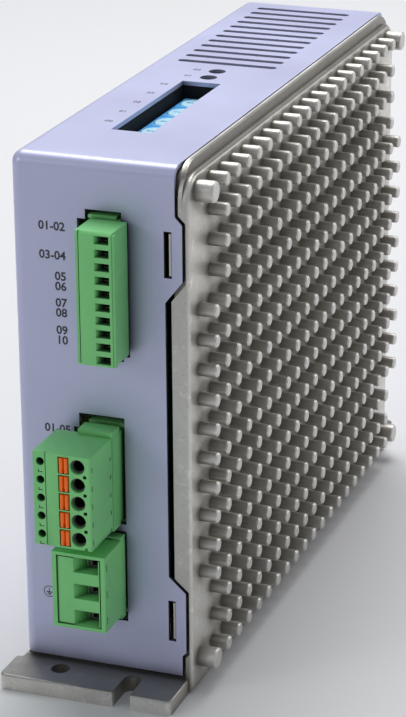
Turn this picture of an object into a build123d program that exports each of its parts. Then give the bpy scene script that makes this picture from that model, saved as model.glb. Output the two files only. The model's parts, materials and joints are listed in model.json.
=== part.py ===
"""Stepper motor driver with a pin-fin heatsink side, three pluggable connectors and top switches.

Sizes are in millimetres. Inside this file X runs from the cover's left face, Y from the
cover's front face towards the back, and Z from the mounting face upwards. save() moves every
piece so that the origin is the centre of the base's mounting face.
"""
import math
import os

from build123d import *

# ---------------------------------------------------------------- driving dimensions
TOP = 144.7              # height of the cover's top above the mounting face
DEPTH = 179.0            # front face to rear face of the cover
BASE_WIDTH = 47.0        # width of the base between the feet
BASE_THICK = 4.4         # thickness of the base plate and its feet
FOOT_REACH = 13.5        # how far each foot stands out past the cover
FOOT_LEFT = -1.8         # the feet are a little wider than the body on the left
FOOT_NECK = 2.0          # the feet widen this far out from the cover's faces
FOOT_HOLE_R = 2.5        # round mounting hole and half the width of the open slot
FOOT_HOLE_X = 12.5
FOOT_SLOT_X = 33.0
FOOT_HOLE_OUT = 5.6      # hole centres, measured out from the cover's faces

PLATE_IN = 43.3          # inner face of the heatsink's side plate
RIM_OUT = 46.3           # outer face of the plate's top rim
PLATE_OUT = 48.0         # face that the pins stand on
PLATE_CORNER = 9.0       # radius of the plate's upper corners
LEDGE_Z = 142.0          # height at which the plate steps in to the rim
PIN_R = 1.8
PIN_LENGTH = 5.0
PIN_COLUMNS = 21
PIN_ROWS = 17
PIN_PITCH_Y = 8.2
PIN_PITCH_Z = 8.1
PIN_FIRST_Y = 7.5
PIN_FIRST_Z = 8.7
CORNER_PIN_R = 2.8
CORNER_PIN_SHIFT = 0.9   # corner pins stand this far outside the lattice

SHEET = 1.2              # cover sheet thickness
BEND_R = 3.0             # outer bend radius of the cover
COVER_BOTTOM = 5.1
COVER_RIGHT = 44.4       # right edge of the top sheet
TAB_RIGHT = 46.3         # right edge of the cover's hooking tabs
POCKET_DEPTH = 2.2       # recess in the plate that takes the tabs
TAB_SLOT_X = (41.4, 43.5)
TAB_SLOTS_Z = ((115.8, 128.0), (14.9, 26.6))
COVER_SCREW_Y = (20.0, 89.5, 159.0)
COVER_SCREW_Z = 9.6

WINDOW_X = (16.7, 27.8)
WINDOW_Y = (27.2, 79.4)
VENT_COUNT = 12
VENT_PITCH = 6.22
VENT_FIRST_Y = 100.9
VENT_X = (7.3, 36.7)
VENT_WIDTH = 2.5
LED_R = 2.4
LED_X = 22.2
LED_Y = (85.1, 92.1)

BOARD_X = 31.4           # component face of the main board
BOARD_THICK = 1.6
BOARD_Y = (3.5, 172.0)
BOARD_Z = (9.0, 139.0)
STANDOFF_Y = (14.0, 166.0)
STANDOFF_Z = (16.0, 132.0)

SWITCH_BOARD_Z = 131.8   # underside of the small board that carries the switches
SWITCH_SIZE = 9.9
SWITCH_X = (17.4, 27.3)
SWITCH_TOP = 139.9
ROTARY_COUNT = 4
ROTARY_PITCH = 10.0
ROTARY_FIRST_Y = 44.4
ROTOR_R = 4.1
DIP_CENTRE_Y = 34.4
DIP_COUNT = 3
DIP_PITCH = 2.54

SIGNAL_POLES = 10
SIGNAL_PITCH = 3.5
SIGNAL_TOP_Z = 127.95    # centre of the uppermost wire window
SIGNAL_FRONT = -11.8
MOTOR_POLES = 5
MOTOR_PITCH = 5.0
MOTOR_TOP_Z = 70.2
MOTOR_FRONT = -19.9
LEVER_PROUD = 0.3
POWER_POLES = 3
POWER_PITCH = 7.5
POWER_TOP_Z = 40.1
POWER_FRONT = -14.5
HEADER_FRONT = 1.5       # the headers sit just behind the cover's front sheet
COLLAR_BACK = -0.6       # rear end of the plugs' collars, just in front of the sheet

PHASES = 5
PHASE_FIRST_Y = 28.0
PHASE_PITCH = 24.0
TRANSISTOR_ROWS_Z = (44.0, 88.0)
PAD_THICK = 0.4
PIN_BEND_Y = 10.5        # rear face of the header pins' bend into the board
M3_SHANK = 1.45
M3_HOLE = 1.5
M3_CLEAR = 1.7


# ---------------------------------------------------------------- terminal heights
def pole_heights(top, pitch, poles):
    return [top - i * pitch for i in range(poles)]


def signal_heights():
    return pole_heights(SIGNAL_TOP_Z, SIGNAL_PITCH, SIGNAL_POLES)


def motor_heights():
    return pole_heights(MOTOR_TOP_Z, MOTOR_PITCH, MOTOR_POLES)


def power_heights():
    return pole_heights(POWER_TOP_Z, POWER_PITCH, POWER_POLES)


# ---------------------------------------------------------------- shape helpers
def block(x, y, z):
    """Box between pairs of coordinates."""
    centre = Pos((x[0] + x[1]) / 2, (y[0] + y[1]) / 2, (z[0] + z[1]) / 2)
    return centre * Box(x[1] - x[0], y[1] - y[0], z[1] - z[0])


def rod_x(x, y, z, r):
    """Cylinder along X."""
    return Pos((x[0] + x[1]) / 2, y, z) * Rot(0, 90, 0) * Cylinder(r, x[1] - x[0])


def rod_y(x, y, z, r):
    """Cylinder along Y."""
    return Pos(x, (y[0] + y[1]) / 2, z) * Rot(90, 0, 0) * Cylinder(r, y[1] - y[0])


def rod_z(x, y, z, r):
    """Cylinder along Z."""
    return Pos(x, y, (z[0] + z[1]) / 2) * Cylinder(r, z[1] - z[0])


def plate_xz(points, y, radius):
    """Prism along Y whose outline is given as (x, z) corners, all rounded."""
    outline = Polyline(*[(px, 0, pz) for px, pz in points], close=True)
    face = make_face(outline)
    if radius:
        face = fillet(face.vertices(), radius)
    return extrude(Pos(0, y[0], 0) * face, y[1] - y[0], dir=(0, 1, 0))


def mirrored_back(shape):
    """Copy of a front feature at the rear of the cover."""
    return mirror(shape, Plane.XZ.offset(-DEPTH / 2))


def funnel(y_front, depth, x_front, x_back, z, height):
    """Wire entry that narrows from its mouth at y_front to a smaller window behind it."""
    ends = []
    for x, y in ((x_front, y_front - 0.1), (x_back, y_front + depth)):
        window = Rectangle(x[1] - x[0], height)
        ends.append(Plane.XZ.offset(-y) * Pos(sum(x) / 2, z) * window)
    return loft(ends)


def fused(items):
    """Fuse a list of shapes that touch or overlap into one part."""
    whole = items[0]
    return whole.fuse(*items[1:]) if len(items) > 1 else whole


def save(name, *shapes):
    """Write one node, with the origin moved to the centre of the mounting face."""
    to_origin = Pos(-BASE_WIDTH / 2, -DEPTH / 2, 0)
    solids = [to_origin * solid for shape in shapes for solid in shape.solids()]
    export_step(Compound(solids), f"parts/{name}.step")


def pan_screw_x(face_x, towards, y, z, head_r, head_h, shank_r, length):
    """Cross-head pan screw along X. The head sits on face_x, the shank runs towards +X or -X."""
    head = rod_x(sorted((face_x, face_x - towards * head_h)), y, z, head_r)
    outer = head.edges().filter_by(GeomType.CIRCLE).sort_by(Axis.X)
    head = fillet(outer[0] if towards > 0 else outer[-1], head_h * 0.45)
    shank = rod_x(sorted((face_x, face_x + towards * length)), y, z, shank_r)
    drive = sorted((face_x - towards * head_h * 1.1, face_x - towards * head_h * 0.4))
    arm = head_r * 0.55
    bar = head_r * 0.14
    cross = block(drive, (y - arm, y + arm), (z - bar, z + bar))
    cross += block(drive, (y - bar, y + bar), (z - arm, z + arm))
    return head + shank - cross


# ---------------------------------------------------------------- heatsink and cover
def front_edge_points(gap):
    """Stepped right-hand edge of the front sheet, from the top down, moved right by gap."""
    return [
        (COVER_RIGHT + gap, 131.9 + gap / 2),
        (TAB_RIGHT + gap, 130.0 + gap / 2),
        (TAB_RIGHT + gap, 115.1 - gap / 2),
        (41.6 + gap, 109.2 - gap / 2),
        (41.6 + gap, 33.4 + gap / 2),
        (TAB_RIGHT + gap, 29.2 + gap / 2),
        (TAB_RIGHT + gap, 12.0 - gap / 2),
        (45.2 + gap, 10.9 - gap / 2),
    ]


def tab_pocket():
    """Recess in the plate's front face that follows the cover's edge with a dark gap."""
    edge = front_edge_points(0.9)
    top = TOP + 5
    outline = [(30, top), (edge[0][0], top), *edge, (edge[-1][0], BASE_THICK), (30, BASE_THICK)]
    return plate_xz(outline, (-1, POCKET_DEPTH), 0)


def pin(radius, y, z):
    """One cast cooling pin with a softened tip."""
    body = rod_x((PLATE_OUT - 0.5, PLATE_OUT + PIN_LENGTH), y, z, radius)
    return fillet(body.edges().filter_by(GeomType.CIRCLE).sort_by(Axis.X)[-1], 0.55)


def cooling_pins():
    """Lattice of pins; the end columns leave room for the tabs and end in thick corner pins."""
    pins = []
    last = PIN_COLUMNS - 1
    top_row = PIN_ROWS - 1
    for column in range(PIN_COLUMNS):
        for row in range(PIN_ROWS):
            at_end = column in (0, last)
            if at_end and not 3 <= row <= 12:
                continue
            pins.append(pin(PIN_R, PIN_FIRST_Y + column * PIN_PITCH_Y, PIN_FIRST_Z + row * PIN_PITCH_Z))
    for column, side in ((0, -1), (last, 1)):
        for row, level in ((0, -0.3), (top_row, -1)):
            y = PIN_FIRST_Y + column * PIN_PITCH_Y + side * CORNER_PIN_SHIFT
            z = PIN_FIRST_Z + row * PIN_PITCH_Z + level * CORNER_PIN_SHIFT
            pins.append(pin(CORNER_PIN_R, y, z))
    return pins


def side_plate():
    """Side plate with its stepped rim and rounded upper corners."""
    inner = block((PLATE_IN, RIM_OUT), (0, DEPTH), (0, TOP))
    inner = fillet(inner.edges().filter_by(Axis.X).group_by(Axis.Z)[-1], PLATE_CORNER)
    outer = block((RIM_OUT - 1, PLATE_OUT), (0, DEPTH), (0.6, LEDGE_Z))
    outer = fillet(outer.edges().filter_by(Axis.X).group_by(Axis.Z)[-1], PLATE_CORNER - 2)
    rounded = outer.faces().sort_by(Axis.X)[-1].edges()
    outer = fillet(rounded, 1.0)
    return inner + outer


def base_plate():
    """Base with a wider foot at each end, each with a round hole and an open slot."""
    right = BASE_WIDTH - 0.2
    base = block((0, right), (-FOOT_REACH, DEPTH + FOOT_REACH), (0, BASE_THICK))
    foot = block((FOOT_LEFT, right), (-FOOT_REACH, -FOOT_NECK), (0, BASE_THICK))
    base = base + foot + mirrored_back(foot)
    uprights = base.edges().filter_by(Axis.Z).group_by(Axis.Y)
    base = fillet(uprights[0] + uprights[-1], 1.6)
    near_body = (-FOOT_NECK - 0.1, DEPTH + FOOT_NECK + 0.1)
    shoulders = base.edges().filter_by(Axis.Z).filter_by_position(Axis.Y, *near_body)
    base = fillet(shoulders, 0.8)
    base = fillet(base.faces().sort_by(Axis.Z)[-1].edges(), 0.5)
    hole_y = -FOOT_HOLE_OUT
    hole = rod_z(FOOT_HOLE_X, hole_y, (-1, BASE_THICK + 1), FOOT_HOLE_R)
    slot = rod_z(FOOT_SLOT_X, hole_y, (-1, BASE_THICK + 1), FOOT_HOLE_R)
    slot_sides = (FOOT_SLOT_X - FOOT_HOLE_R, FOOT_SLOT_X + FOOT_HOLE_R)
    slot += block(slot_sides, (-FOOT_REACH - 1, hole_y), (-1, BASE_THICK + 1))
    cuts = hole + slot
    return base - cuts - mirrored_back(cuts)


def cover_bosses():
    """Cast blocks on the base that the cover screws bite into."""
    return [block((1.5, 11), (y - 5, y + 5), (BASE_THICK - 0.4, BASE_THICK + 10)) for y in COVER_SCREW_Y]


def tab_lugs():
    """Small cast lugs that stand in the cover's tab slots and hook it in place."""
    lugs = []
    for low, high in TAB_SLOTS_Z:
        tip = block((42.7, 43.3), (0.3, POCKET_DEPTH + 2.5), (low + 0.6, high - 0.6))
        root = block((42.7, 44.6), (POCKET_DEPTH - 0.3, POCKET_DEPTH + 2.5), (low + 0.6, high - 0.6))
        lugs += [tip + root, mirrored_back(tip + root)]
    return lugs


def transistor_places():
    """(y, z) of the lower left corner of each power transistor."""
    return [(PHASE_FIRST_Y + i * PHASE_PITCH, z) for z in TRANSISTOR_ROWS_Z for i in range(PHASES)]


def heatsink():
    plate = side_plate()
    pocket = tab_pocket()
    rebate = block((PLATE_IN - 1, COVER_RIGHT + 0.4), (-1, DEPTH + 1), (TOP - SHEET - 0.5, TOP + 1))
    plate = plate - pocket - mirrored_back(pocket) - rebate
    tapped = [rod_x((1, 10.5), y, COVER_SCREW_Z, M3_HOLE) for y in COVER_SCREW_Y]
    tapped += [rod_x((PLATE_IN - 1, 47), y, z, M3_HOLE) for y in STANDOFF_Y for z in STANDOFF_Z]
    tapped += [rod_x((PLATE_IN - 1, 47), y, z, M3_HOLE) for y, z in clamp_screw_places()]
    body = fused([plate, base_plate(), *cover_bosses(), *tab_lugs(), *cooling_pins()])
    return body.cut(*tapped)


def cover_cutouts():
    """Stepped openings in the front sheet for the three headers."""
    through = (-1, SHEET + 3)
    signal = block((18.2, 31.9), through, (93.4, 129.1)) + block((20.4, 30.2), through, (92, 131.7))
    motor = block((15.9, 30.0), through, (46.6, 72.5)) + block((17.4, 30.0), through, (46.6, 76.5))
    power = block((14.4, 30.0), through, (18.7, 42.4)) + block((17.4, 30.0), through, (18.7, 44.6))
    return [signal, motor, power]


def vent_slots():
    """Round-ended cooling slots across the rear half of the top."""
    slots = []
    for i in range(VENT_COUNT):
        y = VENT_FIRST_Y + i * VENT_PITCH
        shape = SlotOverall(VENT_X[1] - VENT_X[0], VENT_WIDTH)
        slots.append(extrude(Pos(sum(VENT_X) / 2, y, TOP - 4) * shape, 6))
    return slots


def cover():
    outer = block((0, TAB_RIGHT), (0, DEPTH), (COVER_BOTTOM, TOP))
    left = outer.faces().sort_by(Axis.X)[0].edges()
    bends = left.filter_by(Axis.Z) + left.filter_by(Axis.Y).group_by(Axis.Z)[-1]
    bends += outer.edges().filter_by(Axis.X).group_by(Axis.Z)[-1]
    outer = fillet(bends, BEND_R)
    inner = block((SHEET, TAB_RIGHT + 5), (SHEET, DEPTH - SHEET), (0, TOP - SHEET))
    left = inner.faces().sort_by(Axis.X)[0].edges()
    bends = left.filter_by(Axis.Z) + left.filter_by(Axis.Y).group_by(Axis.Z)[-1]
    bends += inner.edges().filter_by(Axis.X).group_by(Axis.Z)[-1]
    inner = fillet(bends, BEND_R - SHEET)
    shell = outer - inner
    edge = front_edge_points(0)
    beyond = [(edge[0][0], TOP + 5), *edge, (edge[-1][0], 0), (60, 0), (60, TOP + 5)]
    cuts = [plate_xz(beyond, (-1, DEPTH + 1), 0.6)]
    for low, high in TAB_SLOTS_Z:
        slot = block(TAB_SLOT_X, (-1, SHEET + 1), (low, high))
        cuts += [slot, mirrored_back(slot)]
    cuts += cover_cutouts()
    cuts += vent_slots()
    cuts += [rod_z(LED_X, y, (TOP - 5, TOP + 1), LED_R) for y in LED_Y]
    cuts.append(block(WINDOW_X, WINDOW_Y, (TOP - 5, TOP + 1)))
    cuts += [rod_x((-1, 2), y, COVER_SCREW_Z, M3_CLEAR) for y in COVER_SCREW_Y]
    return shell.cut(*cuts)


def window_frame():
    """Black light shield that hangs under the switch window."""
    wall = 1.3
    x = (WINDOW_X[0] - wall, WINDOW_X[1] + wall)
    y = (WINDOW_Y[0] - wall, WINDOW_Y[1] + wall)
    frame = block(x, y, (SWITCH_BOARD_Z + BOARD_THICK, TOP - SHEET))
    well = block(WINDOW_X, WINDOW_Y, (0, TOP))
    frame = frame - well
    ledge = frame.faces().sort_by(Axis.Z)[-1].inner_wires()[0].edges()
    return chamfer(ledge, 0.5)


def cover_screws():
    return [pan_screw_x(0, 1, y, COVER_SCREW_Z, 2.75, 1.8, M3_SHANK, 9) for y in COVER_SCREW_Y]


# ---------------------------------------------------------------- boards and what stands on them
def main_board():
    board = block((BOARD_X, BOARD_X + BOARD_THICK), BOARD_Y, BOARD_Z)
    holes = [rod_x((BOARD_X - 1, BOARD_X + 3), y, z, 1.6) for y in STANDOFF_Y for z in STANDOFF_Z]
    for heights, size in ((signal_heights(), 0.8), (motor_heights(), 1.0), (power_heights(), 1.0)):
        half = size / 2
        for z in heights:
            bend = (PIN_BEND_Y - size, PIN_BEND_Y)
            holes.append(block((BOARD_X - 1, BOARD_X + 3), bend, (z - half, z + half)))
    return board.cut(*holes)


def board_standoffs():
    """Hexagonal spacers from the heatsink plate to the board, each with a stud in the plate."""
    posts = []
    for y in STANDOFF_Y:
        for z in STANDOFF_Z:
            hexagon = Plane.YZ.offset(BOARD_X + BOARD_THICK) * Pos(y, z) * RegularPolygon(3.1, 6)
            post = extrude(hexagon, PLATE_IN - BOARD_X - BOARD_THICK)
            bore = rod_x((BOARD_X, BOARD_X + 9), y, z, 1.55)
            posts.append(post - bore + rod_x((PLATE_IN - 0.5, PLATE_IN + 3.2), y, z, M3_SHANK))
    return posts


def board_screws():
    return [pan_screw_x(BOARD_X, 1, y, z, 2.75, 1.9, M3_SHANK, 7) for y in STANDOFF_Y for z in STANDOFF_Z]


def insulation_sheet():
    return block((1.5, 1.8), (6, 172), (16, 140))


def clamp_screw_places():
    """(y, z) of the screws that clamp the power semiconductors to the heatsink."""
    return [(y + 5, z + 12.6) for y, z in transistor_places()] + [(149.5, 70.0)]


def power_transistors():
    """Two rows of five tab-mounted transistors, one pair for each motor phase."""
    back = PLATE_IN - PAD_THICK
    parts = []
    for y, z in transistor_places():
        body = block((back - 4.4, back), (y, y + 10), (z, z + 9))
        tab = block((back - 1.3, back), (y, y + 10), (z + 9, z + 15.6))
        tab -= rod_x((back - 3, back + 1), y + 5, z + 12.6, M3_CLEAR)
        legs = []
        for k in (-2.54, 0, 2.54):
            side = (y + 5 + k - 0.4, y + 5 + k + 0.4)
            legs.append(block((back - 2.9, back - 2.4), side, (z - 3.5, z)))
            legs.append(block((BOARD_X + BOARD_THICK, back - 2.4), side, (z - 4.0, z - 3.5)))
        parts.append(fused([body, tab, *legs]))
    return parts


def thermal_pads():
    """Insulating silicone strips between the transistors and the plate."""
    pads = []
    for z in TRANSISTOR_ROWS_Z:
        y_end = PHASE_FIRST_Y + (PHASES - 1) * PHASE_PITCH + 12
        pad = block((PLATE_IN - PAD_THICK, PLATE_IN), (PHASE_FIRST_Y - 2, y_end), (z - 1, z + 17))
        reach = (PLATE_IN - 2, PLATE_IN + 1)
        holes = [rod_x(reach, y + 5, z + 12.6, M3_CLEAR) for y, low in transistor_places()]
        pads.append(pad.cut(*holes))
    return pads


def bridge_rectifier():
    body = fillet(block((37.3, PLATE_IN), (142, 157), (58, 78)).edges().filter_by(Axis.X), 1.5)
    body -= rod_x((30, 50), 149.5, 70, M3_CLEAR)
    reach = (BOARD_X + BOARD_THICK, 37.6)
    legs = [block(reach, (y - 0.5, y + 0.5), (59, 60)) for y in (143.5, 147.5, 151.5, 155.5)]
    return fused([body, *legs])


def clamp_screws():
    *on_tabs, on_bridge = clamp_screw_places()
    tab_face = PLATE_IN - PAD_THICK - 1.3
    screws = [pan_screw_x(tab_face, 1, y, z, 2.75, 1.9, M3_SHANK, 4.6) for y, z in on_tabs]
    return screws + [pan_screw_x(37.3, 1, *on_bridge, 2.75, 1.9, M3_SHANK, 9)]


def bulk_capacitors():
    """Can capacitors standing on the board, each with a rolled groove near its base."""
    cans = []
    for y, z in ((120, 30), (146, 30), (146, 56)):
        can = rod_x((5, BOARD_X), y, z, 11)
        can = fillet(can.edges().filter_by(GeomType.CIRCLE).sort_by(Axis.X)[0], 1.2)
        groove = rod_x((27.6, 28.8), y, z, 12) - rod_x((27, 29), y, z, 10.3)
        cans.append(can - groove)
    return cans


def choke_core():
    return rod_x((14, 26), 62, 30, 12) - rod_x((13, 27), 62, 30, 6.5)


def choke_windings():
    """Two coils on opposite halves of the ring core, with leads into the board."""
    coil = rod_x((12.8, 27.2), 62, 30, 13.2) - rod_x((12, 28), 62, 30, 5.3)
    coil -= rod_x((13.9, 26.1), 62, 30, 12.1) - rod_x((13, 27), 62, 30, 6.4)
    halves = []
    for side in (-1, 1):
        keep = block((10, 30), sorted((62 + side * 2.5, 62 + side * 20)), (10, 50))
        half = coil & keep
        leads = [rod_x((26.8, BOARD_X), 62 + side * 12.65, 30 + dz, 0.5) for dz in (-2, 2)]
        halves.append(fused([half, *leads]))
    return halves


def transformer_core():
    core = block((14, 26), (135, 165), (80, 110))
    return core - block((10, 30), (140, 146), (85, 105)) - block((10, 30), (154, 160), (85, 105))


def transformer_bobbin():
    coil = block((9.5, BOARD_X), (140.3, 159.7), (85.3, 104.7))
    coil -= block((13.8, 26.2), (145.8, 154.2), (80, 110))
    return fillet(coil.edges().filter_by(Axis.Z).group_by(Axis.X)[0], 2.5)


def film_capacitor():
    return fillet(block((15, BOARD_X), (84, 102), (20, 33)).edges().filter_by(Axis.X), 1.0)


def fuse():
    """Glass-tube fuse held in two clips on the board."""
    tube = rod_z(27, 28, (20, 40), 2.5)
    caps = [rod_z(27, 28, z, 2.8) for z in ((19.5, 25), (35, 40.5))]
    clips = [block((27, BOARD_X), (26.6, 29.4), z) for z in ((20.5, 24), (36, 39.5))]
    return fused([tube, *caps, *clips])


def processor():
    """Flat square chip with a fringe of legs on each side."""
    body = block((BOARD_X - 1.6, BOARD_X - 0.2), (60, 74), (98, 112))
    legs = []
    for i in range(12):
        at = 1.2 + i * 1.05
        legs.append(block((BOARD_X - 0.5, BOARD_X), (59, 75), (98 + at - 0.2, 98 + at + 0.2)))
        legs.append(block((BOARD_X - 0.5, BOARD_X), (60 + at - 0.2, 60 + at + 0.2), (97, 113)))
    return fused([body, *legs])


def board_chips():
    """Gate drivers in one row, and input couplers stacked behind the signal header."""
    chips = []
    for i in range(PHASES):
        y = PHASE_FIRST_Y + i * PHASE_PITCH
        chips.append(block((BOARD_X - 2, BOARD_X), (y, y + 10), (74, 78)))
    for i in range(PHASES):
        z = 100 + i * 6
        chips.append(block((BOARD_X - 3.6, BOARD_X), (22, 28.5), (z, z + 4.6)))
    return chips


def switch_board():
    board = block((14.5, 30.4), (24, 98), (SWITCH_BOARD_Z, SWITCH_BOARD_Z + BOARD_THICK))
    return board


def rotary_centres():
    return [ROTARY_FIRST_Y + i * ROTARY_PITCH for i in range(ROTARY_COUNT)]


def rotary_bodies():
    """Square code-switch bodies with a round well for the rotor."""
    centre_x = sum(SWITCH_X) / 2
    half = SWITCH_SIZE / 2
    bodies = []
    for y in rotary_centres():
        body = block(SWITCH_X, (y - half, y + half), (SWITCH_BOARD_Z + BOARD_THICK, SWITCH_TOP))
        body = chamfer(body.faces().sort_by(Axis.Z)[-1].edges(), 0.35)
        bodies.append(body - rod_z(centre_x, y, (SWITCH_TOP - 3, SWITCH_TOP + 1), ROTOR_R + 0.15))
    return bodies


def rotary_rotor(y):
    """Round rotor with an arrow-shaped screwdriver slot."""
    x = sum(SWITCH_X) / 2
    body = rod_z(x, y, (SWITCH_TOP - 2.85, SWITCH_TOP + 0.15), ROTOR_R)
    body = chamfer(body.edges().filter_by(GeomType.CIRCLE).sort_by(Axis.Z)[-1], 0.25)
    cut = (SWITCH_TOP - 0.75, SWITCH_TOP + 1)
    shaft = block((x - 2.6, x + 1.6), (y - 0.45, y + 0.45), cut)
    head = Pos(x + 1.9, y, cut[0]) * RegularPolygon(1.6, 3)
    return body - shaft - extrude(head, cut[1] - cut[0])


def dip_centres():
    return [DIP_CENTRE_Y + (i - 1) * DIP_PITCH for i in range(DIP_COUNT)]


def dip_body():
    """Slide-switch body with one slot for each slider."""
    x = sum(SWITCH_X) / 2
    heights = (SWITCH_BOARD_Z + BOARD_THICK, SWITCH_TOP - 0.6)
    body = block(SWITCH_X, (DIP_CENTRE_Y - 4.5, DIP_CENTRE_Y + 4.5), heights)
    well_z = (SWITCH_TOP - 3.2, SWITCH_TOP)
    wells = [block((x - 1.9, x + 1.9), (y - 0.85, y + 0.85), well_z) for y in dip_centres()]
    return body.cut(*wells)


def dip_slider(y):
    """Small white slider, stored at the left end of its slot."""
    x = sum(SWITCH_X) / 2
    knob = block((x - 1.7, x - 0.1), (y - 0.6, y + 0.6), (SWITCH_TOP - 3.0, SWITCH_TOP + 0.1))
    return fillet(knob.faces().sort_by(Axis.Z)[-1].edges(), 0.2)


def status_leds():
    """Two round lamps under the holes in the cover, on tall leads."""
    lamps = []
    for y in LED_Y:
        lens = rod_z(LED_X, y, (136, 141.2), 1.9)
        lens = fillet(lens.edges().filter_by(GeomType.CIRCLE).sort_by(Axis.Z)[-1], 1.7)
        flange = rod_z(LED_X, y, (135, 136.2), 2.2)
        leads = []
        for x in (LED_X - 1, LED_X + 1):
            leads.append(block((x - 0.25, x + 0.25), (y - 0.25, y + 0.25), (133.4, 135.2)))
        lamps.append(fused([lens, flange, *leads]))
    return lamps


# ---------------------------------------------------------------- headers
def header(x, y_front, z, socket_x, socket_z):
    """Open-fronted header shell that a plug's nose slides into, seated on the board."""
    y_back = 9.0
    shell = block(x, (y_front, y_back), z)
    seat = block((x[1] - 1, BOARD_X), (BOARD_Y[0] + 0.2, y_back), z)
    shell = shell + seat
    return shell - block(socket_x, (y_front - 1, 6.4), socket_z)


def header_pin(x, z, y_tip, size):
    """Right-angle contact pin: along Y through the shell, then into the board along X."""
    half = size / 2
    along = block((x - half, x + half), (y_tip, PIN_BEND_Y), (z - half, z + half))
    bend = (PIN_BEND_Y - size, PIN_BEND_Y)
    into = block((x + half, BOARD_X + BOARD_THICK + 0.6), bend, (z - half, z + half))
    return along + into


def headers():
    """The three header shells and all their pins, with the pin holes cut to fit."""
    signal = header((22.5, 30.1), -0.9, (94.1, 130.7), (23.3, 29.3), (95.0, 129.8))
    signal -= block((29.2, 31), (-2, 1.1), (129.9, 131))
    signal += block((21.6, 22.6), (-0.9, 1.1), (129.8, 130.7))
    motor = header((19.5, 30.2), HEADER_FRONT, (46.4, 74.4), (20.5, 29.2), (47.6, 73.2))
    power = header((19.5, 30.2), HEADER_FRONT, (20.7, 44.3), (20.5, 29.2), (21.7, 43.3))
    groups = [
        (signal, 26.8, signal_heights(), -3.5, 0.8),
        (motor, 24.9, motor_heights(), -5.5, 1.0),
        (power, 24.9, power_heights(), -4.5, 1.0),
    ]
    shells = []
    pins = []
    for shell, x, heights, y_tip, size in groups:
        hole = size / 2
        holes = [block((x - hole, x + hole), (5, 10), (z - hole, z + hole)) for z in heights]
        shells.append(shell.cut(*holes))
        pins += [header_pin(x, z, y_tip, size) for z in heights]
    return shells, pins


def link_pins():
    """Bent pins that join the switch board to the main board."""
    pins = []
    for i in range(12):
        y = 30 + i * 5.08
        pins.append(block((30.4, BOARD_X), (y - 0.3, y + 0.3), (SWITCH_BOARD_Z + 0.5, SWITCH_BOARD_Z + 1.1)))
    return pins


# ---------------------------------------------------------------- plugs
def signal_plug_housing():
    """Ten-pole screw plug: wire windows in front, screws on the left side, nose behind."""
    low = SIGNAL_TOP_Z - (SIGNAL_POLES - 1) * SIGNAL_PITCH - 1.65
    high = SIGNAL_TOP_Z + 1.9
    body = block((22.4, 32.2), (SIGNAL_FRONT, -1.3), (low, high))
    top_front = body.edges().filter_by(Axis.X).sort_by(Axis.Z)[-2:].sort_by(Axis.Y)[0]
    body = chamfer(top_front, 0.5)
    rib = block((32.0, 32.8), (SIGNAL_FRONT + 0.2, SIGNAL_FRONT + 1.4), (low, high - 0.5))
    nose = block((23.6, 29.0), (-1.5, 5.8), (low + 0.5, high - 0.5))
    cuts = [block((22, 23.2), (SIGNAL_FRONT - 1, SIGNAL_FRONT + 0.4), (low - 1, high + 1))]
    cuts.append(block((23.15, 23.5), (SIGNAL_FRONT - 1, SIGNAL_FRONT + 0.9), (low - 1, high + 1)))
    for z in signal_heights():
        cuts.append(funnel(SIGNAL_FRONT, 2.2, (27.5, 31.5), (28.9, 31.3), z, 2.1))
        cuts.append(block((28.9, 31.3), (SIGNAL_FRONT + 2.1, -4.6), (z - 1.05, z + 1.05)))
        cuts.append(block((27.6, 31.3), (-9.4, -4.6), (z - 1.05, z + 1.05)))
        cuts.append(block((26.1, 27.7), (-6.0, 6), (z - 0.75, z + 0.75)))
        cuts.append(rod_x((22, 25.2), -7.4, z, 1.35))
        cuts.append(rod_x((25, 27.7), -7.4, z, 0.95))
        cuts.append(block((31.9, 33), (SIGNAL_FRONT + 1.5, SIGNAL_FRONT + 2.0), (z - 1.5, z + 0.6)))
    return (body + rib + nose).cut(*cuts)


def signal_plug_clamps():
    """Small nickel-plated cages, one behind each wire window."""
    cages = []
    for z in signal_heights():
        cage = block((27.7, 31.1), (-8.9, -5.3), (z - 0.95, z + 0.95))
        cage -= block((28.3, 30.8), (-10, -5), (z - 0.6, z + 0.6))
        cages.append(cage - rod_x((27, 28.5), -7.4, z, 0.65))
    return cages


def signal_plug_screw(z):
    """Slotted terminal screw whose tip reaches into the cage."""
    head = rod_x((22.9, 25.1), -7.4, z, 1.2)
    shank = rod_x((25.0, 28.9), -7.4, z, 0.5)
    return head + shank - block((22.5, 23.6), (-8.8, -6.0), (z - 0.18, z + 0.18))


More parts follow.
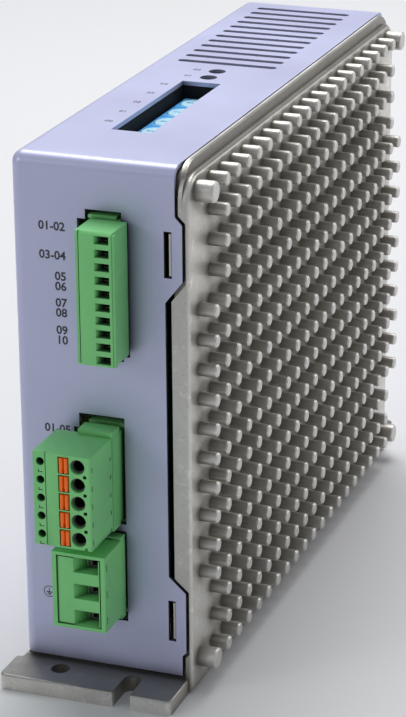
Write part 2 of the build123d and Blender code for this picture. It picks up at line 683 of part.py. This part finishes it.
def motor_plug_housing():
    """Five-pole push-in plug with test sockets, release levers and round wire entries."""
    low = MOTOR_TOP_Z - (MOTOR_POLES - 1) * MOTOR_PITCH - 2.8
    high = MOTOR_TOP_Z + 2.8
    front = MOTOR_FRONT
    body = block((12.8, 28.6), (front, -4.4), (low, high))
    body = fillet(body.edges().filter_by(Axis.Z).sort_by(Axis.Y)[:2], 0.4)
    collar = block((19.3, 28.8), (-5.6, COLLAR_BACK), (46.9, 74.4))
    nose = block((20.8, 28.9), (-4.8, 5.8), (low + 0.8, high - 0.1))
    cuts = [block((12, 16.2), (front - 1, front + 0.3), (low - 1, high + 1))]
    cuts.append(block((16.15, 16.45), (front - 1, front + 0.8), (low - 1, high + 1)))
    for z in motor_heights():
        cuts.append(rod_y(14.8, (front - 1, front + 6), z + 0.2, 1.1))
        cuts.append(block((14.2, 15.4), (front - 1, front + 0.55), (z - 2.75, z - 2.5)))
        cuts.append(block((14.2, 14.5), (front - 1, front + 0.55), (z - 2.75, z - 2.0)))
        cuts.append(rod_y(25.1, (front - 1, -8), z, 2.0))
        cuts.append(block((19.8, 22.8), (front - 1, -8.5), (z - 2.3, z + 2.3)))
        cuts.append(block((22.5, 25.5), (-12.5, -9), (z - 1.4, z + 1.4)))
        cuts.append(block((24.0, 25.8), (-8.2, 6), (z - 0.9, z + 0.9)))
        cuts.append(block((28.1, 29), (-7.0, -6.4), (z - 3.1, z - 1.9)))
        cuts.append(block((28.1, 29), (front + 0.9, front + 1.4), (z - 1.6, z - 0.1)))
        cuts.append(block((26.6, 27.5), (front - 1, front + 1.4), (z - 2.95, z - 2.1)))
    return (body + collar + nose).cut(*cuts)


def motor_plug_springs():
    """Entry sleeves and the bent leaf springs behind them that grip the wires."""
    pieces = []
    for z in motor_heights():
        bar = block((22.9, 23.3), (-12.3, -9.2), (z - 1.4, z + 1.4))
        foot = block((22.9, 25.3), (-9.6, -9.2), (z - 1.4, z + 1.4))
        sleeve = rod_y(25.1, (MOTOR_FRONT + 1.3, -12.5), z, 2.0)
        pieces.append(bar + foot)
        pieces.append(sleeve - rod_y(25.1, (MOTOR_FRONT, -12), z, 1.55))
    return pieces


def motor_plug_lever(z):
    """Orange release lever: two rounded ribs with a groove between them and a tool notch at the bottom."""
    front = MOTOR_FRONT - LEVER_PROUD
    lever = block((20.05, 22.55), (front + 0.9, -10.9), (z - 2.05, z + 2.05))
    for x in ((20.1, 21.15), (21.45, 22.5)):
        rib = block(x, (front, front + 1.2), (z - 2.0, z + 2.0))
        lever += fillet(rib.edges().filter_by(Axis.Z).sort_by(Axis.Y)[:2], 0.4)
    return lever - rod_y(21.3, (front - 1, front + 1.3), z - 1.45, 0.42)


def power_plug_housing():
    """Three-pole screw plug with funnel-shaped wire windows in a grooved front panel."""
    low = POWER_TOP_Z - (POWER_POLES - 1) * POWER_PITCH - 3.2
    high = POWER_TOP_Z + 3.2
    front = POWER_FRONT
    body = block((14.9, 29.6), (front, -3.1), (low, high))
    collar = block((19.5, 29.7), (-3.3, COLLAR_BACK), (20.9, 44.3))
    nose = block((20.8, 28.9), (-3.4, 5.8), (low + 0.4, high - 0.4))
    panel = block((16.1, 28.4), (front - 1, front + 0.3), (low + 0.9, high - 0.9))
    groove = block((16.1, 28.4), (front - 1, front + 0.7), (low + 0.9, high - 0.9))
    groove -= block((16.5, 28.0), (front - 2, front + 2), (low + 1.3, high - 1.3))
    cuts = [panel, groove]
    for z in power_heights():
        cuts.append(funnel(front, 3.8, (20.5, 27.7), (22.8, 27.6), z, 4.2))
        cuts.append(block((22.8, 27.6), (front + 3.7, -10.0), (z - 2.1, z + 2.1)))
        cuts.append(block((24.3, 27.6), (-10.1, -4.7), (z - 2.1, z + 2.1)))
        cuts.append(block((23.3, 24.4), (-10.1, -4.7), (z - 2.1, z + 2.1)))
        cuts.append(block((24.0, 25.8), (-4.8, 6), (z - 0.9, z + 0.9)))
        cuts.append(rod_x((14, 19.6), -7.6, z, 2.2))
        cuts.append(rod_x((19, 23.6), -7.6, z, 1.65))
        cuts.append(block((29.1, 30.0), (front + 1.2, front + 1.7), (z - 1.2, z + 0.8)))
    return (body + collar + nose).cut(*cuts)


def power_plug_clamps():
    """Square lifting cages of the power terminals."""
    cages = []
    for z in power_heights():
        cage = block((23.5, 27.4), (-9.9, -5.3), (z - 1.95, z + 1.95))
        cage -= block((24.4, 26.9), (-11, -5), (z - 1.4, z + 1.4))
        cages.append(cage - rod_x((23, 24.6), -7.6, z, 1.6))
    return cages


def power_plug_screw(z):
    """Large slotted terminal screw in the left side of the power plug."""
    head = rod_x((16.2, 19.4), -7.6, z, 1.95)
    shank = rod_x((19.3, 25.0), -7.6, z, 1.4)
    return head + shank - block((15.8, 17.2), (-9.8, -5.4), (z - 0.3, z + 0.3))


# ---------------------------------------------------------------- write every node
def main():
    os.makedirs("parts", exist_ok=True)
    save("heatsink", heatsink())
    save("cover", cover())
    save("cover_screws", *cover_screws())
    save("window_frame", window_frame())
    save("insulation_sheet", insulation_sheet())
    save("main_board", main_board())
    save("board_standoffs", *board_standoffs())
    save("board_screws", *board_screws())
    save("power_transistors", *power_transistors())
    save("thermal_pads", *thermal_pads())
    save("bridge_rectifier", bridge_rectifier())
    save("clamp_screws", *clamp_screws())
    save("bulk_capacitors", *bulk_capacitors())
    save("choke_core", choke_core())
    save("choke_windings", *choke_windings())
    save("transformer_core", transformer_core())
    save("transformer_bobbin", transformer_bobbin())
    save("film_capacitor", film_capacitor())
    save("fuse", fuse())
    save("processor", processor())
    save("board_chips", *board_chips())
    save("switch_board", switch_board())
    save("rotary_switch_bodies", *rotary_bodies())
    save("dip_switch_body", dip_body())
    save("status_leds", *status_leds())
    shells, pins = headers()
    for name, shell in zip(("signal_header", "motor_header", "power_header"), shells):
        save(name, shell)
    save("contact_pins", *pins, *link_pins())
    for i, y in enumerate(rotary_centres(), 1):
        save(f"rotary_rotor_{i}", rotary_rotor(y))
    for i, y in enumerate(dip_centres(), 1):
        save(f"dip_slider_{i}", dip_slider(y))
    save("signal_plug_housing", signal_plug_housing())
    save("signal_plug_clamps", *signal_plug_clamps())
    for i, z in enumerate(signal_heights(), 1):
        save(f"signal_plug_screw_{i:02d}", signal_plug_screw(z))
    save("motor_plug_housing", motor_plug_housing())
    save("motor_plug_springs", *motor_plug_springs())
    for i, z in enumerate(motor_heights(), 1):
        save(f"motor_plug_lever_{i}", motor_plug_lever(z))
    save("power_plug_housing", power_plug_housing())
    save("power_plug_clamps", *power_plug_clamps())
    for i, z in enumerate(power_heights(), 1):
        save(f"power_plug_screw_{i}", power_plug_screw(z))


main()
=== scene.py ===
"""Looks of the stepper motor driver: softened edges, materials, printed marks, light and camera."""

import json
import math

import bmesh
import bpy
from mathutils import Matrix, Vector

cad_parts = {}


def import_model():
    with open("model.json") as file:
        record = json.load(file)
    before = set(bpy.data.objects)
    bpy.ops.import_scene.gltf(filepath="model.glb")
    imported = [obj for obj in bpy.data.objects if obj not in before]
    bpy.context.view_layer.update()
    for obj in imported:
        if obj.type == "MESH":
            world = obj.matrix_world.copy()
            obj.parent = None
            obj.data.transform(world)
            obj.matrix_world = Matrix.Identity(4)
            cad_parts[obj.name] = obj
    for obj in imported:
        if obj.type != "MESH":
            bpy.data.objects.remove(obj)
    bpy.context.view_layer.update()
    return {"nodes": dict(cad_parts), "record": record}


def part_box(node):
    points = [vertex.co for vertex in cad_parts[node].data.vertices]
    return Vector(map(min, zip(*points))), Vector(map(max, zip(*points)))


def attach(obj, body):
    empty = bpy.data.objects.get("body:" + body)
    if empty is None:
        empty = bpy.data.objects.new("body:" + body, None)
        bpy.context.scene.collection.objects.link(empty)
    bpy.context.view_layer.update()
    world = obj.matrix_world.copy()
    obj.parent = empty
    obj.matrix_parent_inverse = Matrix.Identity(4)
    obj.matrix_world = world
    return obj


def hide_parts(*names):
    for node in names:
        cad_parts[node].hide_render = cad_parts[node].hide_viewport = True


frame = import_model()
NODES = frame["nodes"]
BODY_OF = {node: body for body, nodes in frame["record"]["behaviour"]["bodies"].items() for node in nodes}
SLOT_OF = {part["node"]: part["material_slot"] for part in frame["record"]["subparts"]}
MM = 0.001
COVER_TOP = 144.7
HALF_DEPTH = 89.5   # the cover's front and rear faces, from the middle
FOOT_END = 103.0    # the feet's outer ends, from the middle
BASE_THICK = 4.0
LEDGE_Z = 142.0     # where the heatsink's plate steps in to its rim
RIM_OUT = 46.3      # these three are measured from the cover's left face
PLATE_OUT = 48.0
PIN_TIPS = 53.0


def fit(x, y, z):
    """Point given from the cover's left face and front face, in millimetres, as row-frame metres."""
    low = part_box("cover")[0]
    return Vector((low.x + x * MM, low.y + y * MM, z * MM))


# ---------------------------------------------------------------- materials
class Shader:
    """One node-built material with short calls for the nodes that it needs."""

    def __init__(self, name):
        self.material = bpy.data.materials.new(name)
        self.material.use_nodes = True
        self.tree = self.material.node_tree
        self.surface = self.tree.nodes["Principled BSDF"]
        self.coords = self.tree.nodes.new("ShaderNodeTexCoord").outputs["Object"]

    def node(self, kind, settings=None, **sockets):
        made = self.tree.nodes.new("ShaderNode" + kind)
        for key, value in (settings or {}).items():
            setattr(made, key, value)
        for key, value in sockets.items():
            self.put(made, key.replace("_", " "), value)
        return made

    def put(self, made, socket, value):
        target = made.inputs[int(socket)] if socket.isdigit() else made.inputs[socket]
        if isinstance(value, bpy.types.NodeSocket):
            self.tree.links.new(value, target)
        else:
            target.default_value = value

    def noise(self, size_mm, detail=3.0, stretch=None, rough=0.55):
        coords = self.coords
        if stretch:
            coords = self.node("Mapping", Vector=coords, Scale=stretch).outputs["Vector"]
        scale = 1.0 / (size_mm * MM)
        made = self.node("TexNoise", Vector=coords, Scale=scale, Detail=detail, Roughness=rough)
        return made.outputs["Fac"]

    def remap(self, value, low, high, start=0.3, end=0.7):
        made = self.node("MapRange", Value=value)
        for socket, number in (("From Min", start), ("From Max", end), ("To Min", low), ("To Max", high)):
            made.inputs[socket].default_value = number
        return made.outputs["Result"]

    def mix(self, factor, a, b):
        made = self.node("Mix", {"data_type": "RGBA"})
        self.put(made, "0", factor)
        self.put(made, "6", a)
        self.put(made, "7", b)
        return made.outputs[2]

    def math(self, operation, a, b):
        return self.node("Math", {"operation": operation}, **{"0": a, "1": b}).outputs[0]

    def bump(self, height, strength, depth_mm, under=None):
        made = self.node("Bump", Height=height, Strength=strength, Distance=depth_mm * MM)
        if under is not None:
            self.put(made, "Normal", under)
        return made.outputs["Normal"]

    def painted_hollow_shade(self, reach_mm, low, high):
        """1 in the open and 0 deep in holes and corners: a mask for painted shade where little light reaches.
        """
        made = self.node("AmbientOcclusion", {"samples": 8}, Distance=reach_mm * MM)
        return self.remap(made.outputs["AO"], 0.0, 1.0, low, high)

    def socket(self, **values):
        for key, value in values.items():
            self.put(self.surface, key.replace("_", " "), value)


def tint(colour, factor):
    return tuple(min(1.0, c * factor) for c in colour[:3]) + (1.0,)


def finish(name, colour, rough, mottle=0.06, mottle_mm=9.0, grain_mm=0.35, grain=0.25, depth_mm=0.03,
           rough_spread=0.05, metallic=0.0, coat=0.0, specular=0.5, painted_hollow_shade=None):
    """Moulded, painted or cast surface: cloudy colour, fine grain and a slightly uneven gloss."""
    shader = Shader(name)
    cloud = shader.noise(mottle_mm, 4.0)
    fine = shader.noise(grain_mm, 2.0)
    shade = shader.mix(shader.remap(cloud, 0.0, 1.0), tint(colour, 1.0 - mottle), tint(colour, 1.0 + mottle))
    fleck = mottle * 0.7
    speckle = shader.mix(shader.remap(fine, 0.0, 1.0), tint(colour, 1.0 - fleck), tint(colour, 1.0 + fleck))
    colour_out = shader.mix(0.4, shade, speckle)
    # Painted shade: hollows and corners are darkened towards a darker tint of the colour, standing in for
    # shade where little light reaches.
    if painted_hollow_shade:
        reach, depth, low, high = painted_hollow_shade
        colour_out = shader.mix(shader.painted_hollow_shade(reach, low, high), tint(colour, depth), colour_out)
    shader.socket(Base_Color=colour_out, Metallic=metallic, Coat_Weight=coat, Coat_Roughness=0.12,
                  Roughness=shader.remap(cloud, rough - rough_spread, rough + rough_spread),
                  Normal=shader.bump(fine, grain, depth_mm))
    shader.socket(Specular_IOR_Level=specular)
    return shader.material


def cast_metal(name):
    """Blasted die-cast aluminium with rubbed pin tips; painted shade darkens the plate between the pins,
    hollows and corners, the ledge band outside the rim and the feet's tops.
    """
    shader = Shader(name)
    patch = shader.noise(14.0, 5.0)
    pits = shader.noise(0.55, 3.0)
    swell = shader.noise(2.6, 3.0)
    open_metal = shader.mix(shader.remap(patch, 0.0, 1.0), (0.58, 0.565, 0.53, 1), (0.72, 0.71, 0.67, 1))
    scuffed = shader.mix(shader.remap(swell, 0.0, 0.6, 0.56, 0.70), open_metal, (0.86, 0.85, 0.82, 1))
    pitted = shader.mix(shader.remap(pits, 0.35, 0.0, 0.30, 0.42), scuffed, (0.30, 0.285, 0.26, 1))
    split = shader.node("SeparateXYZ", Vector=shader.coords).outputs
    along = split["X"]
    plate, tips = fit(PLATE_OUT, 0, 0).x, fit(PIN_TIPS, 0, 0).x
    # Painted shade: the plate between the pins and the hollows and corners are darkened, fading out up the
    # pins and on the feet's end faces.
    up_the_pins = shader.remap(along, 0.0, 0.78, plate + 0.2 * MM, tips - 0.3 * MM)
    from_middle = shader.math("ABSOLUTE", split["Y"], 0.0)
    past_ends = shader.remap(from_middle, 0.0, 1.0, (HALF_DEPTH - 0.2) * MM, (HALF_DEPTH + 0.4) * MM)
    end_faces = shader.remap(from_middle, 0.0, 1.0, (FOOT_END - 2.0) * MM, (FOOT_END - 0.6) * MM)
    open_parts = shader.math("MAXIMUM", up_the_pins, end_faces)
    unshaded = shader.math("MAXIMUM", open_parts, shader.painted_hollow_shade(9.0, 0.50, 0.97))
    corners = shader.math("MAXIMUM", open_parts, shader.painted_hollow_shade(3.0, 0.45, 1.0))
    shaded_metal = shader.mix(unshaded, (0.32, 0.30, 0.27, 1), pitted)
    shaded_metal = shader.mix(corners, (0.25, 0.235, 0.205, 1), shaded_metal)
    rubbed = shader.remap(along, 0.0, 0.8, tips - 0.20 * MM, tips - 0.02 * MM)
    colour = shader.mix(rubbed, shaded_metal, (0.54, 0.53, 0.505, 1))
    # Painted shade: a dark band on the ledge outside the rim, where the faces turned to the side catch little
    # light.
    outward = shader.remap(along, 0.0, 1.0, fit(RIM_OUT - 1.0, 0, 0).x, fit(RIM_OUT - 0.7, 0, 0).x)
    off_the_pins = shader.remap(along, 1.0, 0.0, plate + 0.1 * MM, plate + 0.4 * MM)
    near_top = shader.remap(split["Z"], 0.0, 0.85, fit(0, 0, LEDGE_Z - 0.9).z, fit(0, 0, LEDGE_Z - 0.3).z)
    ledge_band_shade = shader.math("MULTIPLY", near_top, shader.math("MULTIPLY", outward, off_the_pins))
    colour = shader.mix(ledge_band_shade, colour, (0.20, 0.19, 0.17, 1))
    # Painted shade: the feet's top faces are darkened, standing in for the body's shadow and a dark
    # reflection.
    foot_top_shade = shader.remap(split["Z"], 0.0, 0.72, (BASE_THICK - 0.3) * MM, (BASE_THICK + 0.3) * MM)
    colour = shader.mix(shader.math("MULTIPLY", past_ends, foot_top_shade), colour, (0.10, 0.098, 0.10, 1))
    wave = shader.bump(swell, 0.20, 0.22)
    shader.socket(Base_Color=colour, Metallic=0.80, Roughness=shader.remap(patch, 0.33, 0.46),
                  Normal=shader.bump(pits, 0.55, 0.10, wave))
    return shader.material


def plated(name, colour, rough=0.28):
    """Turned and plated small hardware: fine lathe lines and faint staining."""
    shader = Shader(name)
    lines = shader.noise(0.12, 2.0, stretch=(0.15, 1.0, 1.0))
    stain = shader.noise(1.8, 4.0)
    tone = shader.mix(shader.remap(stain, 0.0, 1.0), tint(colour, 0.86), tint(colour, 1.05))
    shader.socket(Base_Color=tone, Metallic=1.0, Roughness=shader.remap(stain, rough - 0.06, rough + 0.1),
                  Normal=shader.bump(lines, 0.3, 0.02))
    return shader.material


def circuit_board(name):
    """Green board with traces, plated pads and a woven base showing faintly."""
    shader = Shader(name)
    weave = shader.noise(0.5, 2.0)
    upright = shader.node("Mapping", Vector=shader.coords, Rotation=(0, math.pi / 2, 0)).outputs["Vector"]
    grid = shader.node("TexBrick", {"offset": 0.5, "squash": 1.6}, Vector=upright, Scale=1.0 / (4.2 * MM))
    for socket, value in (("Color1", (0.02, 0.20, 0.08, 1)), ("Color2", (0.015, 0.16, 0.065, 1)),
                          ("Mortar", (0.05, 0.34, 0.14, 1)), ("Mortar Size", 0.06), ("Brick Width", 0.9),
                          ("Row Height", 0.28)):
        grid.inputs[socket].default_value = value
    dots = shader.node("TexVoronoi", {"feature": "F1"}, Vector=shader.coords, Scale=1.0 / (3.3 * MM))
    pads = shader.remap(dots.outputs["Distance"], 1.0, 0.0, 0.10, 0.14)
    colour = shader.mix(pads, grid.outputs["Color"], (0.75, 0.72, 0.60, 1))
    shader.socket(Base_Color=colour, Roughness=shader.remap(weave, 0.28, 0.40),
                  Normal=shader.bump(weave, 0.2, 0.03))
    return shader.material


def copper_winding(name):
    """Enamelled wire laid turn by turn."""
    shader = Shader(name)
    band = shader.node("TexWave", {"bands_direction": "Y"}, Vector=shader.coords, Scale=1.0 / (3.2 * MM),
                       Distortion=0.6).outputs["Fac"]
    colour = shader.mix(band, (0.20, 0.055, 0.02, 1), (0.72, 0.27, 0.09, 1))
    shader.socket(Base_Color=colour, Metallic=0.6, Roughness=shader.remap(band, 0.42, 0.26),
                  Normal=shader.bump(band, 0.8, 0.3))
    return shader.material


MATERIALS = {
    "heatsink": cast_metal("cast_aluminium"),
    # painted shade in the cover's slots and holes and beside the plugs
    "cover": finish("powder_coat", (0.50, 0.515, 0.72), 0.38, 0.035, 30.0, 0.30, 0.30, 0.02, 0.04,
                    metallic=0.30, painted_hollow_shade=(5.0, 0.05, 0.35, 0.95)),
    "cover_screws": plated("zinc_plate", (0.78, 0.78, 0.79)),
    "window_frame": finish("black_moulding", (0.008, 0.008, 0.010), 0.75, 0.2, 4.0, specular=0.2),
    "insulation_sheet": finish("insulating_film", (0.82, 0.80, 0.70), 0.3, 0.05, 20.0, 1.2, 0.15),
    "main_board": circuit_board("circuit_board"),
    "board_standoffs": plated("nickel_plate", (0.78, 0.74, 0.62), 0.22),
    "power_transistors": finish("black_epoxy", (0.022, 0.022, 0.024), 0.45, 0.15, 3.0, 0.2, 0.4),
    "thermal_pads": finish("silicone_pad", (0.45, 0.50, 0.53), 0.7, 0.08, 5.0, 0.6, 0.3),
    "bulk_capacitors": finish("shrink_sleeve", (0.03, 0.035, 0.07), 0.3, 0.1, 12.0, 0.5, 0.1, coat=0.3),
    "choke_core": finish("ferrite_ring", (0.06, 0.065, 0.06), 0.6, 0.15, 2.0, 0.3, 0.5),
    "choke_windings": copper_winding("copper_winding"),
    "transformer_core": finish("ferrite_core", (0.045, 0.045, 0.05), 0.55, 0.12, 3.0, 0.3, 0.4),
    "transformer_bobbin": finish("winding_tape", (0.68, 0.56, 0.16), 0.35, 0.06, 6.0, 0.8, 0.2, coat=0.2),
    "film_capacitor": finish("yellow_case", (0.72, 0.52, 0.06), 0.35, 0.05, 6.0, 0.4, 0.2, coat=0.2),
    "switch_body": finish("blue_moulding", (0.09, 0.44, 0.92), 0.34, 0.05, 3.0, 0.25, 0.15, 0.015, coat=0.15),
    "status_leds": finish("smoked_lens", (0.004, 0.010, 0.005), 0.45, 0.1, 2.0, 0.8, 0.05, specular=0.2),
    # painted shade in the plugs' and headers' wire holes and recesses
    "green_plug": finish("green_moulding", (0.19, 0.60, 0.20), 0.40, 0.045, 7.0, 0.22, 0.30, 0.015, coat=0.08,
                         painted_hollow_shade=(3.5, 0.09, 0.20, 0.80)),
    "green_header": finish("green_header", (0.17, 0.55, 0.18), 0.45, 0.05, 6.0, 0.22, 0.30, 0.015,
                           painted_hollow_shade=(3.5, 0.09, 0.20, 0.80)),
    "contact_pins": plated("tin_plate", (0.80, 0.79, 0.76), 0.24),
    "rotary_rotor": finish("pale_blue_moulding", (0.50, 0.80, 0.96), 0.36, 0.05, 2.0, 0.25, 0.15, 0.015,
                           coat=0.1),
    "dip_slider": finish("white_moulding", (0.86, 0.88, 0.88), 0.4, 0.04, 2.0, 0.25, 0.15, 0.015),
    "terminal_screw": plated("terminal_screw", (0.55, 0.55, 0.54), 0.32),
    "wire_clamp": plated("wire_clamp", (0.16, 0.155, 0.15), 0.40),
    "motor_plug_lever": finish("orange_moulding", (1.0, 0.175, 0.003), 0.45, 0.04, 3.0, 0.22, 0.25, 0.015,
                               specular=0.5),
    "print": finish("dark_print", (0.035, 0.035, 0.045), 0.55, 0.15, 1.0, 0.2, 0.2, 0.005),
}
SAME_AS = {
    "board_screws": "cover_screws", "clamp_screws": "cover_screws", "bridge_rectifier": "power_transistors",
    "fuse": "contact_pins", "processor": "power_transistors", "board_chips": "power_transistors",
    "switch_board": "main_board", "rotary_switch_bodies": "switch_body", "dip_switch_body": "switch_body",
    "signal_header": "green_header", "motor_header": "green_header", "power_header": "green_header",
    "signal_plug_housing": "green_plug", "motor_plug_housing": "green_plug",
    "power_plug_housing": "green_plug",
    "signal_plug_clamps": "wire_clamp", "power_plug_clamps": "wire_clamp", "motor_plug_springs": "wire_clamp",
    "signal_plug_screw": "terminal_screw", "power_plug_screw": "terminal_screw",
}


def material_for(slot):
    return MATERIALS[SAME_AS.get(slot, slot)]


# ---------------------------------------------------------------- pieces from the frame
def add_piece(name, mesh, body, slot, material, *replaced):
    piece = bpy.data.objects.new(name, mesh)
    bpy.context.scene.collection.objects.link(piece)
    mesh.materials.clear()
    mesh.materials.append(material)
    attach(piece, body)
    if replaced:
        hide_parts(*replaced)
    return piece


def soften(node, width_mm, segments=2, angle=35.0):
    """Stands for a CAD node with its sharp edges broken, as moulding, casting and bending leave them."""
    shape = bmesh.new()
    shape.from_mesh(NODES[node].data)
    bmesh.ops.remove_doubles(shape, verts=shape.verts, dist=0.002 * MM)
    bmesh.ops.dissolve_limit(shape, angle_limit=math.radians(1.0), verts=shape.verts, edges=shape.edges)
    mesh = bpy.data.meshes.new(node + "_soft")
    shape.to_mesh(mesh)
    shape.free()
    mesh.shade_smooth()
    piece = add_piece(node + "_soft", mesh, BODY_OF[node], SLOT_OF[node], material_for(SLOT_OF[node]), node)
    bevel = piece.modifiers.new("edges", "BEVEL")
    bevel.width = width_mm * MM
    bevel.segments = segments
    bevel.limit_method = "ANGLE"
    bevel.angle_limit = math.radians(angle)
    bevel.harden_normals = True
    bevel.use_clamp_overlap = True


for node, kept in NODES.items():
    kept.data.materials.clear()
    kept.data.materials.append(material_for(SLOT_OF[node]))

for node in ("signal_plug_housing", "motor_plug_housing", "power_plug_housing"):
    soften(node, 0.18)
for i in range(1, 6):
    soften(f"motor_plug_lever_{i}", 0.10)


# ---------------------------------------------------------------- printed marks
def printed(name, text, place, height_mm, facing, bold_mm):
    """Thin printed figures that end at a point, read from the front or from above."""
    curve = bpy.data.curves.new(name, "FONT")
    curve.body = text
    curve.size = height_mm * MM * 1.37
    curve.align_x = "RIGHT"
    curve.offset = bold_mm * MM
    curve.align_y = "CENTER"
    curve.extrude = 0.01 * MM
    curve.resolution_u = 4
    source = bpy.data.objects.new(name + "_curve", curve)
    bpy.context.scene.collection.objects.link(source)
    bpy.context.view_layer.update()
    mesh = bpy.data.meshes.new_from_object(source.evaluated_get(bpy.context.evaluated_depsgraph_get()))
    bpy.data.objects.remove(source)
    turn = Matrix.Rotation(math.pi / 2, 4, "X") if facing == "front" else Matrix.Identity(4)
    mesh.transform(Matrix.Translation(place) @ turn)
    add_piece(name, mesh, "driver", "cover", MATERIALS["print"])


PRINT_LIFT = 0.012
LABEL_RIGHT = 14.9
FRONT_NUMBERS = (("01-02", 126.2), ("03-04", 118.5), ("05", 113.0), ("06", 110.3), ("07", 105.9),
                 ("08", 103.2), ("09", 98.5), ("10", 95.8))
for i, (text, z) in enumerate(FRONT_NUMBERS, 1):
    printed(f"signal_number_{i}", text, fit(LABEL_RIGHT, -PRINT_LIFT, z), 2.3, "front", 0.07)
printed("motor_number", "01-05", fit(15.0, -PRINT_LIFT, 71.2), 2.3, "front", 0.07)
for i, z in enumerate((35.6, 33.3, 31.0), 1):
    printed(f"power_number_{i}", f"0{i}", fit(13.6, -PRINT_LIFT, z), 1.5, "front", 0.04)
for i, y in enumerate((85.1, 92.1), 1):
    printed(f"lamp_number_{i}", f"0{i}", fit(17.4, y, COVER_TOP + PRINT_LIFT), 1.7, "top", 0.02)
for i, y in enumerate((34.4, 44.4, 54.4, 64.4, 74.4)):
    printed(f"switch_number_{i}", f"0{i}", fit(14.2, y, COVER_TOP + PRINT_LIFT), 1.6, "top", 0.02)


def earth_mark(name, centre, radius_mm, line_mm):
    """Ring with the earth symbol inside it: one upright and three bars of falling width."""
    shape = bmesh.new()
    steps = 40
    turns = [2 * math.pi * k / steps for k in range(steps)]
    rings = []
    for radius in (radius_mm, radius_mm - line_mm):
        places = [(radius * MM * math.cos(turn), 0, radius * MM * math.sin(turn)) for turn in turns]
        rings.append([shape.verts.new(place) for place in places])
    for k in range(steps):
        after = (k + 1) % steps
        shape.faces.new((rings[0][k], rings[0][after], rings[1][after], rings[1][k]))
    half = line_mm / 2
    bars = [(-half, half, -0.1, 0.62)]
    bars += [(-w, w, z - half * 0.8, z + half * 0.8) for w, z in ((0.55, -0.1), (0.36, -0.36), (0.17, -0.62))]
    for left, right, low, high in bars:
        corners = ((left, low), (right, low), (right, high), (left, high))
        scale = radius_mm * 0.95
        places = [(x * (scale if abs(x) > half else 1), z * scale) for x, z in corners]
        shape.faces.new([shape.verts.new((x * MM, 0, z * MM)) for x, z in places])
    shape.normal_update()
    bmesh.ops.solidify(shape, geom=shape.faces[:], thickness=0.02 * MM)
    mesh = bpy.data.meshes.new(name)
    shape.to_mesh(mesh)
    shape.free()
    mesh.transform(Matrix.Translation(centre))
    add_piece(name, mesh, "driver", "cover", MATERIALS["print"])


earth_mark("earth_mark", fit(7.5, -PRINT_LIFT, 23.9), 1.65, 0.22)


# ---------------------------------------------------------------- stage
def area_light(name, place, target, size, power, colour=(1.0, 1.0, 1.0)):
    data = bpy.data.lights.new(name, "AREA")
    data.shape = "RECTANGLE"
    data.size, data.size_y = size
    data.energy = power
    data.color = colour
    lamp = bpy.data.objects.new(name, data)
    bpy.context.scene.collection.objects.link(lamp)
    lamp.location = place
    lamp.rotation_euler = (Vector(target) - Vector(place)).to_track_quat("-Z", "Y").to_euler()


def floor():
    """Wide pale floor just under the base."""
    shape = bmesh.new()
    bmesh.ops.create_grid(shape, x_segments=24, y_segments=24, size=6.0)
    mesh = bpy.data.meshes.new("floor")
    shape.to_mesh(mesh)
    shape.free()
    piece = bpy.data.objects.new("floor", mesh)
    bpy.context.scene.collection.objects.link(piece)
    piece.location.z = -0.02 * MM
    mesh.materials.append(finish("pale_floor", (0.66, 0.66, 0.67), 0.9, 0.01, 400.0, 4.0, 0.02, specular=0.1))


def world():
    sky = bpy.data.worlds.new("studio")
    bpy.context.scene.world = sky
    sky.use_nodes = True
    sky.node_tree.nodes["Background"].inputs["Color"].default_value = (0.92, 0.95, 1.0, 1.0)
    sky.node_tree.nodes["Background"].inputs["Strength"].default_value = 0.41


CAMERA_AT = Vector((0.23825, -0.65445, 0.32384))
YAW, PITCH, ROLL = math.radians(18.80), math.radians(21.41), math.radians(0.155)


def camera():
    data = bpy.data.cameras.new("camera")
    data.lens = 128.9
    data.sensor_width = 36.0
    data.shift_x = -0.0937
    data.shift_y = 0.0420
    data.clip_start = 0.05
    data.clip_end = 30.0
    eye = bpy.data.objects.new("camera", data)
    bpy.context.scene.collection.objects.link(eye)
    tilt = Matrix.Rotation(math.pi / 2 - PITCH, 4, "X")
    turn = Matrix.Rotation(YAW, 4, "Z") @ tilt @ Matrix.Rotation(ROLL, 4, "Z")
    eye.matrix_world = Matrix.Translation(CAMERA_AT) @ turn
    bpy.context.scene.camera = eye


floor()
world()
area_light("top_softbox", (-0.15, 0.52, 1.20), (0.0, 0.0, 0.10), (0.9, 0.9), 15.5)
area_light("front_fill", (-0.95, -1.00, 0.60), (0.0, 0.0, 0.07), (0.5, 0.5), 2.9, (0.97, 0.98, 1.0))
area_light("side_fill", (0.95, 1.05, 0.35), (0.03, 0.0, 0.07), (0.5, 0.7), 3.8, (1.0, 0.985, 0.96))
camera()
bpy.context.scene.view_settings.view_transform = "Standard"
